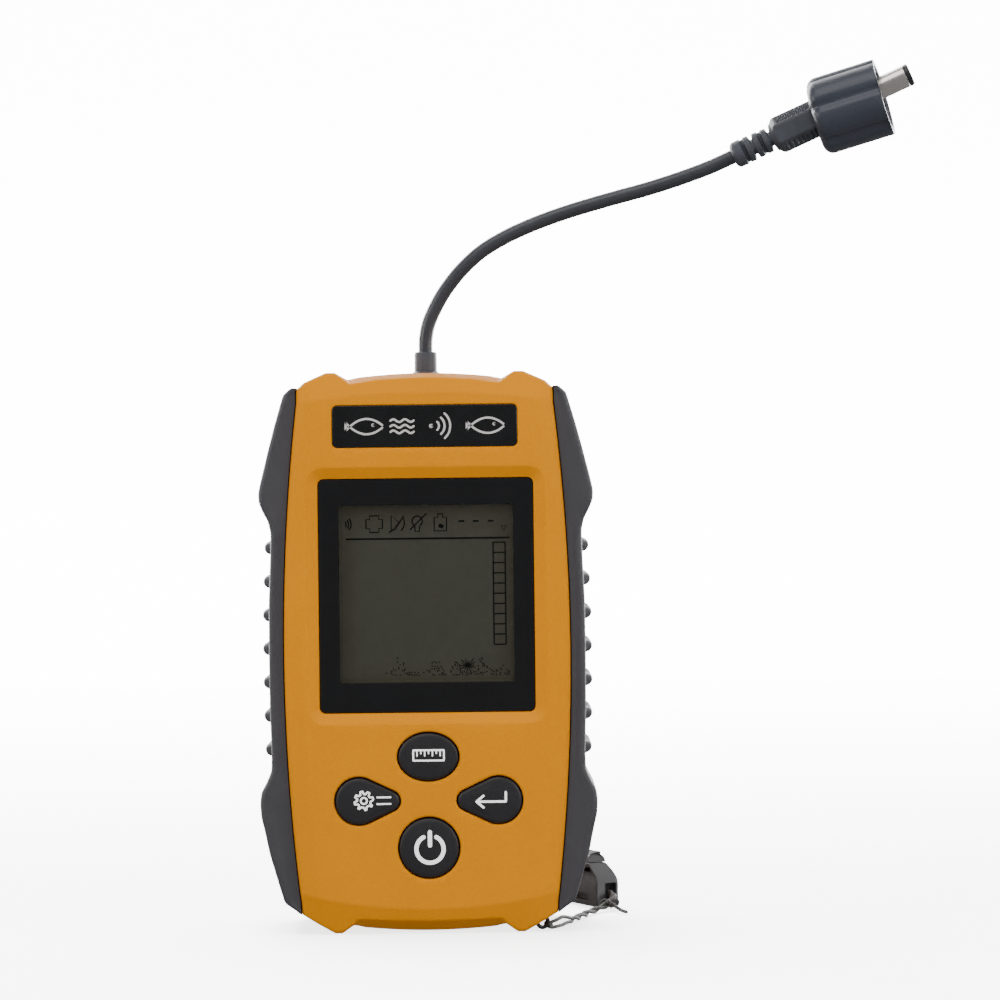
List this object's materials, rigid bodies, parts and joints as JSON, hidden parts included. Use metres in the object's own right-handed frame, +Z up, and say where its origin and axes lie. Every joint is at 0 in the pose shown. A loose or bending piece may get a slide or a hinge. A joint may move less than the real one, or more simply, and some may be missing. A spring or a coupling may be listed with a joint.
{
  "type": "handheld fish finder",
  "caption": "Upright handheld fish finder with a screen, push keys, rubber side grips, a battery door, a short lead with a collared plug, and a neck strap on a buckle.",
  "frame": {"origin": "on the floor under the middle of the case, which stands on its bumpers", "axes": "+X to the right as seen from the screen side, +Y towards the back, +Z up"},
  "size_m": [0.1617, 0.0879, 0.2112],
  "materials": {
    "yellow_abs": "moulded ABS with a fine spark-eroded grain",
    "grip_rubber": "soft overmoulded rubber, matt",
    "gasket_rubber": "moulded seal rubber",
    "name_plate_gloss": "gloss black printed plate",
    "clear_lens": "clear acrylic with a printed black border",
    "lcd_glass": "reflective grey liquid crystal cell",
    "white_plastic": "white moulded plastic",
    "silicone": "silicone rubber",
    "board": "glass-epoxy board with green solder resist",
    "chip_epoxy": "moulded epoxy",
    "transformer": "enamelled copper winding on a ferrite core",
    "key_rubber": "hard rubber key with white printed symbol",
    "steel": "zinc plated steel",
    "tray_plastic": "moulded ABS",
    "battery_cell": "printed film over a steel can",
    "lead_pvc": "smooth PVC sheath",
    "plug_rubber": "moulded PVC",
    "collar_plastic": "satin moulded nylon",
    "nickel": "nickel plated brass",
    "brass": "turned brass",
    "buckle_acetal": "moulded acetal",
    "cord_nylon": "twisted nylon cord",
    "webbing": "woven nylon webbing"
  },
  "bodies": {
    "case": {"front_shell": "yellow_abs", "rear_shell": "yellow_abs", "left_grip": "grip_rubber", "right_grip": "grip_rubber", "shell_gasket": "gasket_rubber", "name_plate": "name_plate_gloss", "display_lens": "clear_lens", "lcd_panel": "lcd_glass", "lcd_frame": "white_plastic", "backlight": "white_plastic", "contact_strip": "silicone", "main_board": "board", "board_chips": "chip_epoxy", "pulse_transformer": "transformer", "buzzer": "chip_epoxy", "keypad_mat": "silicone", "board_screws": "steel", "case_screws": "steel", "battery_tray": "tray_plastic", "door_pin": "steel", "battery_cell_1": "battery_cell", "battery_cell_2": "battery_cell", "battery_cell_3": "battery_cell", "battery_cell_4": "battery_cell", "battery_springs": "steel", "contact_plates": "steel", "cable_gland": "plug_rubber", "gland_nut": "tray_plastic", "inner_lead": "lead_pvc", "lead_socket": "white_plastic", "lead_cable": "lead_pvc", "strain_relief": "plug_rubber", "plug_grip": "plug_rubber", "plug_body": "collar_plastic", "plug_seal": "gasket_rubber", "dc_barrel": "nickel", "barrel_insulator": "chip_epoxy", "centre_contact": "brass", "lanyard_eye": "buckle_acetal", "lanyard_cord": "cord_nylon", "buckle_socket": "buckle_acetal"},
    "units_key": {"units_key": "key_rubber"},
    "setup_key": {"setup_key": "key_rubber"},
    "enter_key": {"enter_key": "key_rubber"},
    "power_key": {"power_key": "key_rubber"},
    "door": {"battery_door": "yellow_abs", "door_seal": "gasket_rubber"},
    "collar": {"plug_collar": "collar_plastic"},
    "strap": {"buckle_plug": "buckle_acetal", "strap_hank": "webbing", "strap_tie": "gasket_rubber"}
  },
  "joints": [
    {"name": "units_key_press", "type": "slide", "parent": "case", "child": "units_key", "axis": [0, 1, 0], "range_m": [0, 0.0008], "stiffness_N_per_m": 1500},
    {"name": "setup_key_press", "type": "slide", "parent": "case", "child": "setup_key", "axis": [0, 1, 0], "range_m": [0, 0.0008], "stiffness_N_per_m": 1500},
    {"name": "enter_key_press", "type": "slide", "parent": "case", "child": "enter_key", "axis": [0, 1, 0], "range_m": [0, 0.0008], "stiffness_N_per_m": 1500},
    {"name": "power_key_press", "type": "slide", "parent": "case", "child": "power_key", "axis": [0, 1, 0], "range_m": [0, 0.0008], "stiffness_N_per_m": 1500},
    {"name": "battery_door_hinge", "type": "hinge", "parent": "case", "child": "door", "pos_m": [0, 0.017, 0.0685], "axis": [1, 0, 0], "range_deg": [0, 60]},
    {"name": "collar_spin", "type": "hinge", "parent": "case", "child": "collar", "pos_m": [0.09651, -0.00298, 0.19725], "axis": [0.9426, -0.2003, 0.2672], "continuous": true},
    {"name": "buckle_release", "type": "slide", "parent": "case", "child": "strap", "axis": [-0.4695, 0.8829, 0], "range_m": [0, 0.012]}
  ]
}
